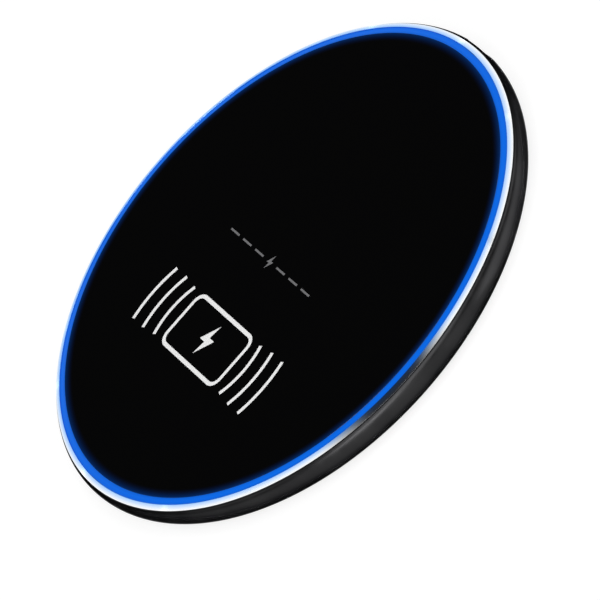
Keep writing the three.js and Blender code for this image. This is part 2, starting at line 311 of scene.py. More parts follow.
class Look:
    """A Principled material and the procedural textures that drive it. Sizes are in metres."""

    def __init__(self, name, color, roughness, metallic=0.0, specular=0.5):
        self.material = bpy.data.materials.new(name)
        self.material.use_nodes = True
        self.tree = self.material.node_tree
        self.shader = self.tree.nodes["Principled BSDF"]
        self.set("Base Color", (*color, 1))
        self.set("Roughness", roughness)
        self.set("Metallic", metallic)
        self.set("Specular IOR Level", specular)
        self.place = self.node("ShaderNodeTexCoord", output="Object")

    def set(self, socket, value):
        self.shader.inputs[socket].default_value = value

    def drive(self, socket, source):
        self.tree.links.new(source, self.shader.inputs[socket])

    def node(self, kind, inputs=None, output=0, **settings):
        return add_node(self.tree, kind, inputs, output, **settings)

    def noise_at(self, place, size, detail):
        inputs = {"Vector": place, "Scale": 1 / size, "Detail": detail}
        return self.node("ShaderNodeTexNoise", inputs)

    def noise(self, size, detail, stretch=(1, 1, 1)):
        """Noise whose features are about that size, stretched along each axis by a factor."""
        scale = [1 / factor for factor in stretch]
        place = self.node("ShaderNodeMapping", {"Vector": self.place, "Scale": scale})
        return self.noise_at(place, size, detail)

    def turned_lines(self, size):
        """Noise in rings about the pad's axis, as turning on a lathe leaves it."""
        rings = self.node("ShaderNodeCombineXYZ", {"X": self.radial()})
        return self.noise_at(rings, size, 2)

    def radial(self):
        """The distance from the pad's axis."""
        inputs = {0: self.place, 1: (1, 1, 0)}
        flat = self.node("ShaderNodeVectorMath", inputs, operation="MULTIPLY")
        return self.node("ShaderNodeVectorMath", {0: flat}, "Value", operation="LENGTH")

    def height(self):
        """The height over the resting plane."""
        return self.node("ShaderNodeSeparateXYZ", {0: self.place}, "Z")

    def mapped(self, value, from_low, from_high, to_low=0, to_high=1, way="SMOOTHSTEP"):
        """The value's range mapped to another range, and held at its ends."""
        inputs = {"Value": value, "From Min": from_low, "From Max": from_high}
        inputs.update({"To Min": to_low, "To Max": to_high})
        return self.node("ShaderNodeMapRange", inputs, interpolation_type=way)

    def mixed(self, factor, color_a, color_b):
        """A blend of two colours, each of which is a tuple or a socket."""
        a, b = ((*c, 1) if isinstance(c, tuple) else c for c in (color_a, color_b))
        return self.node("ShaderNodeMix", {0: factor, 6: a, 7: b}, 2, data_type="RGBA")

    def bump(self, height, depth, strength):
        inputs = {"Height": height, "Distance": depth, "Strength": strength}
        self.drive("Normal", self.node("ShaderNodeBump", inputs))

    def vary_color(self, source, color_a, color_b, from_low=0.35, from_high=0.65):
        factor = self.mapped(source, from_low, from_high)
        self.drive("Base Color", self.mixed(factor, color_a, color_b))

    def vary_roughness(self, source, rough_low, rough_high):
        self.drive("Roughness", self.mapped(source, 0.3, 0.7, rough_low, rough_high))


def housing_look():
    """Satin black anodised metal, bead-blasted, a little lighter where handling has rubbed it."""
    look = Look("satin_black_metal", (0.03, 0.03, 0.031), 0.36, metallic=1.0)
    look.set("Specular Tint", (0.14, 0.14, 0.145, 1))
    look.vary_color(look.noise(6 * MM, 4), (0.027, 0.027, 0.028), (0.033, 0.033, 0.034))
    look.vary_roughness(look.noise(3 * MM, 5), 0.32, 0.4)
    look.bump(look.noise(0.09 * MM, 2), 0.002 * MM, 0.4)
    return look.material


def trim_look():
    """Black anodised metal with a diamond-cut bevel. Its inner edge has painted blue light: a blue
    base colour and a faint blue emission, both fading outwards.
    """
    look = Look("bright_bevel", (0.93, 0.94, 0.96), 0.12, metallic=1.0)
    look.set("Specular Tint", (0.38, 0.6, 0.92, 1))
    # Painted reflection: the bevel's base colour turns from white to blue towards its inner edge,
    # standing in for the lit ring's light.
    share = look.mapped(look.radial(), GUIDE_R + 0.1 * MM, GUIDE_R + 0.95 * MM, way="LINEAR")
    bevel = look.mixed(share, (0.38, 0.6, 0.95), (0.95, 0.97, 0.98))
    cut_away = look.mapped(look.height(), LAND_Z - 0.02 * MM, LAND_Z)
    look.drive("Base Color", look.mixed(cut_away, (0.02, 0.02, 0.021), bevel))
    look.vary_roughness(look.turned_lines(0.2 * MM), 0.07, 0.1)
    # Painted glow: a faint blue emission, strongest at the bevel's inner edge, standing in for
    # light spilling from the lit ring.
    look.set("Emission Color", (0.0, 0.012, 0.045, 1))
    look.drive("Emission Strength", look.mapped(look.radial(), GUIDE_R, TRIM_R, 1, 0.2))
    return look.material


def cover_look():
    """High-gloss black, with a painted glow at its edge: the disc emits faint blue light that fades
    inwards from its rim, standing in for light from the lit ring.
    """
    look = Look("gloss_black", (0.0006, 0.0006, 0.0007), 0.05, specular=0.5)
    look.vary_roughness(look.noise(9 * MM, 5), 0.04, 0.055)
    look.bump(look.noise(4 * MM, 1), 0.001 * MM, 0.1)
    # Painted glow: emission on the disc's edge, strongest at the rim, standing in for the lit
    # ring's light spilling into it.
    look.set("Emission Color", (0.0, 0.02, 0.11, 1))
    reach = look.mapped(look.radial(), COVER_R - 1.85 * MM, COVER_R, way="LINEAR")
    painted_glow = look.node("ShaderNodeMath", {0: reach, 1: 2.5}, operation="POWER")
    look.drive("Emission Strength", painted_glow)
    return look.material


def lit_look():
    """Translucent plastic lit blue from inside, brightest in the middle of its top face.

    The part under the cover plate is milky and glows only faintly.
    """
    look = Look("lit_blue", (0.0, 0.01, 0.05), 0.3, specular=0.05)
    outside = look.mapped(look.radial(), COVER_R - 0.5 * MM, COVER_R)
    look.drive("Base Color", look.mixed(outside, (0.42, 0.5, 0.62), (0.0, 0.01, 0.05)))
    look.drive("Emission Color", look.mixed(outside, (0.002, 0.02, 0.09), (0.003, 0.125, 0.7)))
    middle = (COVER_R + GUIDE_R) / 2
    rise = look.mapped(look.radial(), COVER_R, middle, 0.86, 1.04)
    fall = look.mapped(look.radial(), middle, GUIDE_R, 1.0, 0.88)
    product = look.node("ShaderNodeMath", {0: rise, 1: fall}, operation="MULTIPLY")
    look.drive("Emission Strength", product)
    look.bump(look.noise(0.3 * MM, 2), 0.002 * MM, 0.3)
    return look.material


def plastic_look(name, color, roughness, grain=0.12 * MM, depth=0.01 * MM):
    """Moulded plastic with the fine spark-eroded grain of its mould."""
    look = Look(name, color, roughness, specular=0.45)
    darker = tuple(0.92 * c for c in color)
    lighter = tuple(1.08 * c for c in color)
    look.vary_color(look.noise(5 * MM, 4), darker, lighter)
    look.vary_roughness(look.noise(1.5 * MM, 4), roughness - 0.04, roughness + 0.04)
    look.bump(look.noise(grain, 2), depth, 0.6)
    return look.material


def rubber_look():
    """Silicone rubber: matt, faintly dusty, with a soft grain."""
    look = Look("foot_rubber", (0.026, 0.026, 0.027), 0.8, specular=0.3)
    dust = look.noise(2.5 * MM, 6)
    look.vary_color(dust, (0.02, 0.02, 0.021), (0.036, 0.036, 0.037), 0.45, 0.75)
    look.vary_roughness(look.noise(1 * MM, 4), 0.72, 0.88)
    look.bump(look.noise(0.15 * MM, 3), 0.012 * MM, 0.6)
    return look.material


def metal_look(name, color, roughness, grain=0.08 * MM, stretch=(1, 12, 1)):
    """Drawn or rolled metal, with scratches that run one way and a few dull patches."""
    look = Look(name, color, roughness, metallic=1.0)
    darker = tuple(0.82 * c for c in color)
    look.vary_color(look.noise(1.2 * MM, 4), darker, color)
    look.vary_roughness(look.noise(grain, 3, stretch), roughness - 0.07, roughness + 0.1)
    look.bump(look.noise(grain, 2, stretch), 0.003 * MM, 0.5)
    return look.material


def print_look(name, color):
    """Screen-printed ink, slightly uneven where the mesh of the screen lets it through."""
    look = Look(name, color, 0.45, specular=0.4)
    thinner = tuple(0.9 * c for c in color)
    look.vary_color(look.noise(0.25 * MM, 3), thinner, color)
    look.bump(look.noise(0.12 * MM, 2), 0.003 * MM, 0.5)
    return look.material


LOOKS = {
    "housing_metal": housing_look(),
    "bright_metal": trim_look(),
    "cover_gloss": cover_look(),
    "lit_ring": lit_look(),
    "cover_plastic": plastic_look("underside_plastic", (0.016, 0.016, 0.017), 0.55),
    "foot_rubber": rubber_look(),
    "label_film": plastic_look("label_film", (0.05, 0.05, 0.053), 0.42, 0.3 * MM, 0.003 * MM),
    "adhesive_tape": plastic_look("adhesive_tape", (0.62, 0.58, 0.46), 0.6),
    "board": plastic_look("solder_mask", (0.008, 0.09, 0.035), 0.35, 0.4 * MM),
    "ferrite": plastic_look("ferrite", (0.03, 0.03, 0.034), 0.6, 0.15 * MM),
    "chip_plastic": plastic_look("chip_epoxy", (0.012, 0.012, 0.013), 0.5, 0.08 * MM),
    "foam": plastic_look("foam", (0.016, 0.016, 0.018), 0.9, 0.25 * MM, 0.08 * MM),
    "socket_plastic": plastic_look("socket_plastic", (0.012, 0.012, 0.013), 0.4, 0.06 * MM),
    "capacitor_ceramic": plastic_look("capacitor_ceramic", (0.36, 0.2, 0.09), 0.45, 0.1 * MM),
    "lamp": plastic_look("lamp_body", (0.8, 0.77, 0.62), 0.35, 0.1 * MM),
    "socket_steel": metal_look("socket_steel", (0.62, 0.63, 0.65), 0.24),
    "screw_steel": metal_look("screw_steel", (0.48, 0.49, 0.51), 0.3, stretch=(1, 1, 1)),
    "copper_wire": metal_look("enamelled_copper", (0.72, 0.26, 0.1), 0.3, 0.12 * MM, (1, 1, 4)),
}
GOLD = metal_look("gold_plating", (0.9, 0.63, 0.25), 0.25, 0.1 * MM, (1, 6, 1))


def piece(obj, node_or_slot, look=None):
    """Finishes a piece: it rides on the pad, has a slot's finish and may stand for a node."""
    slot = SLOT_OF.get(node_or_slot, node_or_slot)
    obj.data.materials.clear()
    obj.data.materials.append(look or LOOKS[slot])
    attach(obj, "root")
    if node_or_slot in SLOT_OF:
        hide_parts(node_or_slot)


# ---- outer shells ----

BELLY_Z = 4.8 * MM  # widest height of the wall
BELLY_R = BELLY_Z - UNDERSIDE  # round lower side of the wall
FIT = 0.1 * MM  # gap between parts that fit into each other
LIP_R = TRIM_R - 0.12 * MM
FLANGE_R = radius("bottom_cover") + FIT
FLOOR_Z = low("light_guide") - 0.05 * MM  # inner face of the floor, under the guide's bosses
LEDGE_R = FLANGE_R - 1.8 * MM  # the housing's ledge over the rim of the bottom cover
LEDGE_Z = 1.25 * MM
WALL_R = PAD_R - 3 * MM  # inner face of the wall
TRIM_FOOT_R = TRIM_R - 0.55 * MM
NOTCH_HALF = 4.9 * MM  # half the width of the notches that the socket passes through
NOTCH_Y = 40 * MM
FOOT_OUT = radius("foot_ring")
FOOT_IN = FOOT_OUT - 6.6 * MM
GUIDE_IN_R = 44 * MM
GUIDE_COLLAR_R = 45.2 * MM
GUIDE_COLLAR_Z = 3.6 * MM
GUIDE_RIM_Z = 4.4 * MM  # the guide's rim rests just over the housing's shelf


def wall_radius(z):
    """The outer radius of the housing's side at a height."""
    if z < BELLY_Z:
        return PAD_R - BELLY_R + math.sqrt(max(0.0, BELLY_R ** 2 - (BELLY_Z - z) ** 2))
    share = min(1.0, (z - BELLY_Z) / (LIP_Z - BELLY_Z))
    return PAD_R - (PAD_R - LIP_R) * (1 - math.sqrt(1 - share ** 2))


def make_housing():
    """The rounded wall, with its lip, the rebate for the trim ring, a shelf and a ledge."""
    belly_steps, crown_steps = 28, 14
    corners = [(FLANGE_R, UNDERSIDE, 0.12 * MM)]
    for i in range(belly_steps + 1):
        angle = math.pi / 2 * i / belly_steps
        r = PAD_R - BELLY_R + BELLY_R * math.sin(angle)
        corners.append((r, BELLY_Z - BELLY_R * math.cos(angle), 0))
    for i in range(1, crown_steps):
        z = BELLY_Z + (LIP_Z - BELLY_Z) * math.sin(math.pi / 2 * i / crown_steps)
        corners.append((wall_radius(z), z, 0))
    step_z = low("trim_ring") - SEAM
    shelf_z = GUIDE_RIM_Z - FIT
    lip_inner = TRIM_FOOT_R + 0.03 * MM
    corners += [
        (LIP_R, LIP_Z, 0.06 * MM), (lip_inner, LIP_Z, 0.04 * MM),
        (lip_inner, step_z, 0), (GUIDE_R + SEAM, step_z, 0),
        (GUIDE_R + SEAM, shelf_z, 0), (WALL_R, shelf_z, 0),
        (WALL_R, FLOOR_Z, 0), (LEDGE_R, FLOOR_Z, 0),
        (LEDGE_R, LEDGE_Z, 0), (FLANGE_R, LEDGE_Z, 0),
    ]
    piece(cut(lathe("housing_shell", corners, 4), usb_cutter()), "housing")


def usb_cutter():
    """The socket's opening in the wall, with an edge that is rounded where it meets the wall."""
    def at_depth(depth):
        return lambda x, z: math.sqrt((wall_radius(z) - depth) ** 2 - x ** 2)

    gap = 0.18 * MM  # between the socket's shell and the opening
    steps = [(0, 5.5), (0, 0.3), (0.03, 0.16), (0.1, 0.06), (0.24, -0.01), (0.3, -0.6)]
    return loft("usb_cutter", [
        stadium(at_depth(depth * MM), gap + grow * MM) for grow, depth in steps
    ])


def make_bottom_cover():
    """A tray with beds for the foot and the label, posts under the board, and screw holes."""
    foot_in, foot_out = FOOT_IN - 0.2 * MM, FOOT_OUT + 0.2 * MM
    foot_roof = high("foot_ring") + 0.02 * MM
    label_roof = high("rating_label") + 0.01 * MM
    label_r = radius("rating_label") + 0.3 * MM
    edge = 0.12 * MM
    tray = lathe("bottom_tray", [
        (0, label_roof, 0), (label_r, label_roof, 0),
        (label_r, UNDERSIDE, edge / 2), (foot_in, UNDERSIDE, edge),
        (foot_in, foot_roof, 0), (foot_out, foot_roof, 0),
        (foot_out, UNDERSIDE, edge), (FLANGE_R - FIT, UNDERSIDE, edge),
        (FLANGE_R - FIT, LEDGE_Z - SEAM, 0), (LEDGE_R - FIT, LEDGE_Z - SEAM, 0),
        (LEDGE_R - FIT, FLOOR_Z, 0), (0, FLOOR_Z, 0),
    ])
    post_r, ring_r, sunk = 1.5 * MM, 30 * MM, 0.5 * MM
    posts = []
    for angle in (0, 90, 180, 270):
        at = polar(ring_r, angle, 0).xy
        posts.append(drum("post", post_r, FLOOR_Z - sunk, PCB_LOW - SEAM, 0.1 * MM, at))
    tray = cut(tray, joined("posts", *posts), "UNION")
    screw_r, head_r = 1.2 * MM, 2.1 * MM
    head_top = low("screw_1") + 0.55 * MM
    steps = [(0, 0), (head_r, 0), (head_r, head_top), (screw_r, head_top), (screw_r, TOP), (0, TOP)]
    holes = []
    for place in SCREW_PLACES:
        hole = turned("hole", steps, 48)
        hole.data.transform(Matrix.Translation((*place.xy, 0)))
        holes.append(hole)
    piece(cut(tray, joined("holes", *holes)), "bottom_cover")


def make_trim_ring():
    """A bevelled ring. Its foot sits in the housing's rebate, and a rim hangs over the lip."""
    inner = GUIDE_R + SEAM
    foot_z, top_z = span("trim_ring")
    rim_z = LIP_Z + SEAM
    ring = lathe("bevel_ring", [
        (inner, foot_z, 0),
        (TRIM_FOOT_R, foot_z, 0),
        (TRIM_FOOT_R, rim_z, 0),
        (TRIM_R, rim_z, 0.015 * MM),
        (TRIM_R, LAND_Z, 0),
        (inner, top_z, 0.04 * MM),
    ], 4)
    piece(ring, "trim_ring")


def make_light_guide():
    """The lit ring, its rim on the housing's shelf, and the collar that faces the lamps.

    Lugs inside the collar carry the bosses that the screws go into.
    """
    rim = COVER_R + SEAM
    seat = low("cover_plate") - 0.1 * MM
    web = GUIDE_RIM_Z + 0.6 * MM
    guide = lathe("lit_ring", [
        (GUIDE_IN_R, GUIDE_COLLAR_Z, 0), (GUIDE_COLLAR_R, GUIDE_COLLAR_Z, 0),
        (GUIDE_COLLAR_R, web, 0.3 * MM), (rim, web, 0.3 * MM),
        (rim, GUIDE_RIM_Z, 0), (GUIDE_R, GUIDE_RIM_Z, 0),
        (GUIDE_R, high("trim_ring") - 0.1 * MM, 0.06 * MM), (rim, TOP - 0.02 * MM, 0.04 * MM),
        (rim, seat, 0), (GUIDE_IN_R, seat, 0),
    ], 4)
    lug_top, lug_width, lug_thick = seat - 0.05 * MM, 5 * MM, 0.75 * MM
    lug_to = GUIDE_IN_R + 0.5 * MM
    boss_r, edge = 2.2 * MM, 0.1 * MM
    lugs = []
    for place in SCREW_PLACES:
        lug_from = place.xy.length - 2.4 * MM
        middle = ((lug_from + lug_to) / 2, 0, lug_top - lug_thick / 2)
        lug = slab("lug", middle, (lug_to - lug_from, lug_width, lug_thick), edge)
        set_out(lug, 0, math.degrees(math.atan2(place.y, place.x)))
        boss = drum("boss", boss_r, low("light_guide"), lug_top, edge, place.xy)
        lugs.append(cut(lug, boss, "UNION"))
    guide = cut(guide, joined("lugs", *lugs), "UNION")
    pilot_r, pilot_top = 1 * MM, 4.9 * MM
    pilots = [drum("pilot", pilot_r, 0, pilot_top, at=place.xy) for place in SCREW_PLACES]
    notch = notch_cutter(seat + 0.05 * MM, 0.2 * MM)
    piece(cut(guide, joined("cutters", notch, *pilots)), "light_guide")


def notch_cutter(height, bevel):
    """A block that clears the way for the socket, from the resting plane up to a height."""
    middle = (0, NOTCH_Y + PAD_R / 2, height / 2)
    return slab("notch", middle, (2 * NOTCH_HALF, PAD_R, height), bevel)


def make_cover():
    """The glossy disc. Its face lies lower than the node's by the thickness of the print."""
    base, face = low("cover_plate"), TOP - PRINT
    corners = [(0, base, 0), (COVER_R, base, 0.1 * MM), (COVER_R, face, 0.04 * MM), (0, face, 0)]
    piece(lathe("gloss_disc", corners), "cover_plate")


def make_foot():
    """A rounded ring whose sole has three shallow grooves."""
    roof = high("foot_ring")
    edge, groove_edge = 0.25 * MM, 0.08 * MM
    groove, depth = 0.35 * MM, 0.14 * MM  # half the groove's width, and its depth
    outline = [(FOOT_IN, roof, 0), (FOOT_IN, 0, edge)]
    for share in (0.25, 0.5, 0.75):
        middle = FOOT_IN + share * (FOOT_OUT - FOOT_IN)
        for shift, z in ((-1, 0), (-0.5, depth), (0.5, depth), (1, 0)):
            outline.append((middle + shift * groove, z, groove_edge))
    outline += [(FOOT_OUT, 0, edge), (FOOT_OUT, roof, 0)]
    piece(lathe("foot_pad", outline, 4), "foot_ring")


def make_label():
    """A blank film with a printed ring near its edge."""
    (base, back), r = span("rating_label"), radius("rating_label")
    corners = [(0, base, 0), (r, base, 0.04 * MM), (r, back, 0), (0, back, 0)]
    piece(lathe("blank_label", corners), "rating_label")
    ring_out, ring_width, ink = r - 1.4 * MM, 0.3 * MM, 0.01 * MM
    border = washer(
        "label_border", ring_out - ring_width, ring_out, base - ink, base + ink, segments=SEGMENTS
    )
    piece(border, "label_film", print_look("label_ink", (0.3, 0.3, 0.31)))


# ---- printed marks ----

def ribbon(points, width, closed=False):
    """The outline of a stroke of that width along points, as pairs of left and right points."""
    points = [Vector(point) for point in points]
    ends = [points[-1], *points, points[0]] if closed else [points[0], *points, points[-1]]
    pairs = []
    for before, point, after in zip(ends, ends[1:], ends[2:]):
        outward = (after - point).normalized()
        along = ((point - before).normalized() + outward).normalized()
        side = Vector((-along.y, along.x))
        reach = max(abs(side.dot(Vector((-outward.y, outward.x)))), 0.4) if outward.length else 1
        shift = side * width / 2 / reach
        pairs.append((point + shift, point - shift))
    return pairs


def printed(name, strokes, fills, z=TOP, thickness=PRINT * 0.9):
    """Thin flat shapes under that height. Strokes are (points, width, closed), fills outlines."""
    edit = bmesh.new()
    for points, width, closed in strokes:
        pairs = ribbon(points, width, closed)
        rows = [[edit.verts.new((p.x, p.y, z)) for p in pair] for pair in pairs]
        if closed:
            rows.append(rows[0])
        for (a, b), (c, d) in zip(rows, rows[1:]):
            edit.faces.new((a, b, d, c))
    for outline in fills:
        edit.faces.new([edit.verts.new((x, y, z)) for x, y in outline])
    bmesh.ops.recalc_face_normals(edit, faces=edit.faces)
    grown = bmesh.ops.extrude_face_region(edit, geom=list(edit.faces))
    moved = [v for v in grown["geom"] if isinstance(v, bmesh.types.BMVert)]
    bmesh.ops.translate(edit, verts=moved, vec=(0, 0, -thickness))
    bmesh.ops.recalc_face_normals(edit, faces=edit.faces)
    return edited_object(name, edit)


def bolt(center, height):
    """A plain lightning bolt, standing along +Y."""
    shape = [(0.1, 0.5), (-0.3, -0.08), (-0.04, -0.08), (-0.1, -0.5), (0.3, 0.08), (0.04, 0.08)]
    return [(center[0] + height * x, center[1] + height * y) for x, y in shape]


def arc(center, r, middle, half, steps=24):
    """Points on an arc, by its middle direction and half its opening, in degrees."""
    angles = [math.radians(middle - half + 2 * half * i / steps) for i in range(steps + 1)]
    return [(center[0] + r * math.cos(a), center[1] + r * math.sin(a)) for a in angles]


def rounded_rectangle(center, width, height, corner, steps=8):
    points = []
    for sx, sy, start in ((1, 1, 0), (-1, 1, 90), (-1, -1, 180), (1, -1, 270)):
        middle = (center[0] + sx * (width / 2 - corner), center[1] + sy * (height / 2 - corner))
        points += arc(middle, corner, start + 45, 45, steps)
    return points


def make_centre_mark():
    """A small grey bolt between two rows of dashes, in the middle of the pad."""
    x, y = -2.2 * MM, -1 * MM
    first, dash, pitch, weight = 2.6 * MM, 3.2 * MM, 4.8 * MM, 0.36 * MM
    strokes = []
    for side in (1, -1):
        for i in range(3):
            start = x + side * (first + i * pitch)
            strokes.append(([(start, y), (start + side * dash, y)], weight, False))
    mark = printed("centre_mark", strokes, [bolt((x, y), 3 * MM)])
    piece(mark, "cover_gloss", print_look("grey_ink", (0.16, 0.16, 0.165)))


def make_phone_mark():
    """A white phone, lying across the pad, with a bolt on it and waves to its left and right."""
    center = (-1 * MM, -18 * MM)
    weight = 0.75 * MM
    phone_width, phone_height, corner = 21 * MM, 10.6 * MM, 1.9 * MM
    phone = rounded_rectangle(center, phone_width, phone_height, corner)
    strokes = [(phone, weight, True)]
    wave_r, wave_pitch = 14.2 * MM, 3.8 * MM
    wave_half, narrowing = 22, 3.4  # degrees
    for side in (0, 180):
        for i in range(3):
            wave = arc(center, wave_r + i * wave_pitch, side, wave_half - i * narrowing)
            strokes.append((wave, weight, False))
    mark = printed("phone_mark", strokes, [bolt(center, 6.6 * MM)])
    piece(mark, "cover_gloss", print_look("white_ink", (0.86, 0.86, 0.86)))


# ---- USB socket ----

def make_usb_shell():
    """A drawn steel tube whose front rim is rounded."""
    wall, steps = 0.3 * MM, 8
    rim = wall / 2
    front = USB_HIGH.y - rim
    rows = [(0, USB_LOW.y), (0, front)]
    for i in range(1, steps):
        angle = math.pi * i / steps
        rows.append((-rim + rim * math.cos(angle), front + rim * math.sin(angle)))
    rows += [(-wall, front), (-wall, USB_LOW.y)]
    loops = [stadium(lambda x, z, y=y: y, offset) for offset, y in rows]
    piece(loft("usb_socket_shell", loops, closed=True), "usb_shell")


def make_usb_tongue():
    """The socket's plastic base, its tongue, and the gold contacts on both sides of the tongue."""
    back, front = (corner.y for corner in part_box("usb_tongue"))
    width, height, wall = 6.69 * MM, 0.7 * MM, 0.35 * MM
    root, sunk = back + 3 * MM, 1 * MM
    rows = [stadium(lambda x, z, y=y: y, -wall) for y in (back, root)]
    length = front - root + sunk
    blade = slab("blade", (0, front - length / 2, USB_Z), (width, length, height), 0.12 * MM, 3)
    piece(joined("usb_socket_tongue", loft("base", rows), blade), "usb_tongue")
    count, pitch, pad_width, pad_thick = 12, 0.5 * MM, 0.26 * MM, 0.03 * MM
    pad_from, pad_to = root + 0.6 * MM, front - 0.55 * MM
    pad_size = (pad_width, pad_to - pad_from, 2 * pad_thick)
    contacts = []
    for face in (1, -1):
        for i in range(count):
            x = (i - (count - 1) / 2) * pitch
            middle = (x, (pad_from + pad_to) / 2, USB_Z + face * height / 2)
            contacts.append(slab("contact", middle, pad_size, 0.01 * MM, 1))
    piece(joined("usb_socket_contacts", *contacts), "copper_wire", GOLD)


# ---- inner parts ----

LED_ANGLES = [45 * i + 22.5 for i in range(8)]
COIL_IN = 10.8 * MM
COIL_TURNS = 9
COIL_PITCH = 1.25 * MM
LEAD_ANGLE = 20
LEAD_PADS = ((28.1 * MM, LEAD_ANGLE), (29.4 * MM, LEAD_ANGLE + 9))


class Stance:
    """Where a block stands on the board, and its own size: outwards, across and upwards."""

    def __init__(self, node):
        low_corner, high_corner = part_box(node)
        middle = (low_corner + high_corner) / 2
        extent = high_corner - low_corner
        angle = math.atan2(middle.y, middle.x)
        cosine, sine = abs(math.cos(angle)), abs(math.sin(angle))
        deep = (extent.x * cosine - extent.y * sine) / (cosine ** 2 - sine ** 2)
        wide = (extent.y * cosine - extent.x * sine) / (cosine ** 2 - sine ** 2)
        self.size = Vector((deep, wide, extent.z))
        place = Matrix.Translation((middle.x, middle.y, low_corner.z))
        self.matrix = place @ Matrix.Rotation(angle, 4, "Z")

    def put(self, name, node_or_slot, *parts):
        """Makes one piece of parts made round the origin, in place and with its +X outwards."""
        obj = joined(name, *parts)
        obj.data.transform(self.matrix)
        piece(obj, node_or_slot)


def make_board():
    """The round board with screw holes, a notch for the socket, and gold lands and pads."""
    hole_r, land_in, land_out = 2.6 * MM, 2.75 * MM, 3.5 * MM
    (base, top), r = span("main_board"), radius("main_board")
    board = drum("round_board", r, base, top, 0.06 * MM, segments=SEGMENTS)
    holes = [drum("hole", hole_r, 0, TOP, at=place.xy) for place in SCREW_PLACES]
    piece(cut(board, joined("cutters", notch_cutter(TOP, 0.3 * MM), *holes)), "main_board")
    gold = [
        washer("land", land_in, land_out, z - 0.01 * MM, z + 0.02 * MM, at=place.xy)
        for place in SCREW_PLACES for z in (PCB_LOW, PCB_TOP)
    ]
    pad_size = (3.2 * MM, 1.8 * MM, 0.06 * MM)
    for r, angle in LEAD_PADS:
        gold.append(set_out(slab("pad", (0, 0, PCB_TOP), pad_size, 0.02 * MM), r, angle))
    piece(joined("board_pads", *gold), "copper_wire", GOLD)


def make_tracks():
    """Copper tracks under the green mask: rings to the lamps, and fans to the parts."""
    ring_width, fan_width, tap = 0.35 * MM, 0.22 * MM, 1.6
    strokes = []
    for r, middle, half in ((39.2, 270, 152), (39.9, 270, 152), (27.4, 235, 110), (28, 235, 110)):
        strokes.append((arc((0, 0), r * MM, middle, half, 120), ring_width, False))
    for lamp_angle in LED_ANGLES:
        for angle in (lamp_angle - tap, lamp_angle + tap):
            strokes.append(([polar(r * MM, angle, 0).xy for r in (39.5, 41)], ring_width, False))
    fan = ((30.4, 0), (32, 0), (33.4, 2.4), (38.8, 2.4))  # radii in mm, and degrees
    for first, last in ((118, 154), (204, 240), (300, 340)):
        for angle in range(first, last + 1, 6):
            route = [polar(r * MM, angle + turn, 0).xy for r, turn in fan]
            strokes.append((route, fan_width, False))
    tracks = printed("board_tracks", strokes, [], PCB_TOP + 0.012 * MM, 0.03 * MM)
    look = plastic_look("masked_copper", (0.02, 0.2, 0.07), 0.3, 0.4 * MM, 0.003 * MM)
    piece(tracks, "board", look)


def make_small_parts():
    """Rows of small resistors and capacitors on the free stretches of the board."""
    row_r, step = 29.6 * MM, 4
    size = Vector((1.0, 0.55, 0.45)) * MM
    body_size = size - Vector((0.1, 0.04, 0.04)) * MM
    end_size, end_x = (size.x * 0.24, size.y, size.z), size.x * 0.38
    bodies, ends = [], []
    for first, last in ((112, 160), (200, 244), (296, 344)):
        for angle in range(first, last + 1, step):
            place = (row_r, angle, PCB_TOP + size.z / 2)
            bodies.append(set_out(slab("body", (0, 0, 0), body_size, 0.04 * MM, 1), *place))
            for x in (-end_x, end_x):
                ends.append(set_out(slab("end", (x, 0, 0), end_size, 0.06 * MM), *place))
    piece(joined("small_part_bodies", *bodies), "capacitor_ceramic")
    piece(joined("small_part_ends", *ends), "socket_steel")


def make_chip(node, pins):
    """A moulded chip with a first-pin dot, and contacts that show along its lower edges."""
    stance = Stance(node)
    deep, wide, tall = stance.size
    inset, lift, dot_r, dot_depth = 0.12 * MM, 0.05 * MM, 0.3 * MM, 0.06 * MM
    size = (deep - 2 * inset, wide - 2 * inset, tall - lift)
    body = slab("body", (0, 0, lift + size[2] / 2), size, 0.06 * MM)
    corner = (size[0] / 2 - 3 * dot_r, size[1] / 2 - 3 * dot_r)
    dot = drum("dot", dot_r, tall - dot_depth, tall + 0.2 * MM, at=corner, segments=24)
    stance.put(f"{node}_body", node, cut(body, dot))
    contacts = []
    for turn in range(4):
        reach, pitch = size[turn % 2], size[1 - turn % 2] / (pins + 1)
        for i in range(pins):
            middle = (reach / 2, (i - (pins - 1) / 2) * pitch, 0.12 * MM)
            contact = slab("contact", middle, (2 * inset, 0.45 * pitch, 0.22 * MM), 0.03 * MM, 1)
            contacts.append(set_out(contact, 0, turn * 90))
    stance.put(f"{node}_contacts", "socket_steel", *contacts)


def make_two_pole(node, cap_share, bevel):
    """A block component whose two ends are wrapped in metal, over a share of its length each."""
    stance = Stance(node)
    size = stance.size
    axis = 0 if size.x > size.y * 0.99 else 1
    skin, cap_bevel = 0.05 * MM, min(bevel, 0.12 * MM)
    body = slab("body", (0, 0, size.z / 2), size - Vector([2 * skin] * 3), bevel, 3)
    cap_size = size.copy()
    cap_size[axis] *= cap_share
    ends = []
    for side in (-1, 1):
        middle = Vector((0, 0, size.z / 2))
        middle[axis] = side * (size[axis] - cap_size[axis]) / 2
        ends.append(slab("cap", middle, cap_size, cap_bevel, 3))
    stance.put(f"{node}_body", node, body)
    stance.put(f"{node}_ends", "socket_steel", *ends)


def make_inductor():
    """A moulded power inductor: a body with cut corners, a round groove and two terminals."""
    stance = Stance("power_inductor")
    deep, wide, tall = stance.size
    skin, groove_depth, end = 0.1 * MM, 0.3 * MM, 1.0 * MM
    size = (deep - 2 * skin, wide - 2 * skin, tall - 2 * skin)
    body = slab("body", (0, 0, tall / 2), size, 0.45 * MM, 3)
    groove = washer("groove", 0.38 * deep, 0.42 * deep, tall - groove_depth, tall)
    stance.put("inductor_body", "power_inductor", cut(body, groove))
    ends = [
        slab("end", (side * (deep - end) / 2, 0, end / 2), (end, 0.55 * wide, end), 0.1 * MM)
        for side in (-1, 1)
    ]
    stance.put("inductor_ends", "socket_steel", *ends)


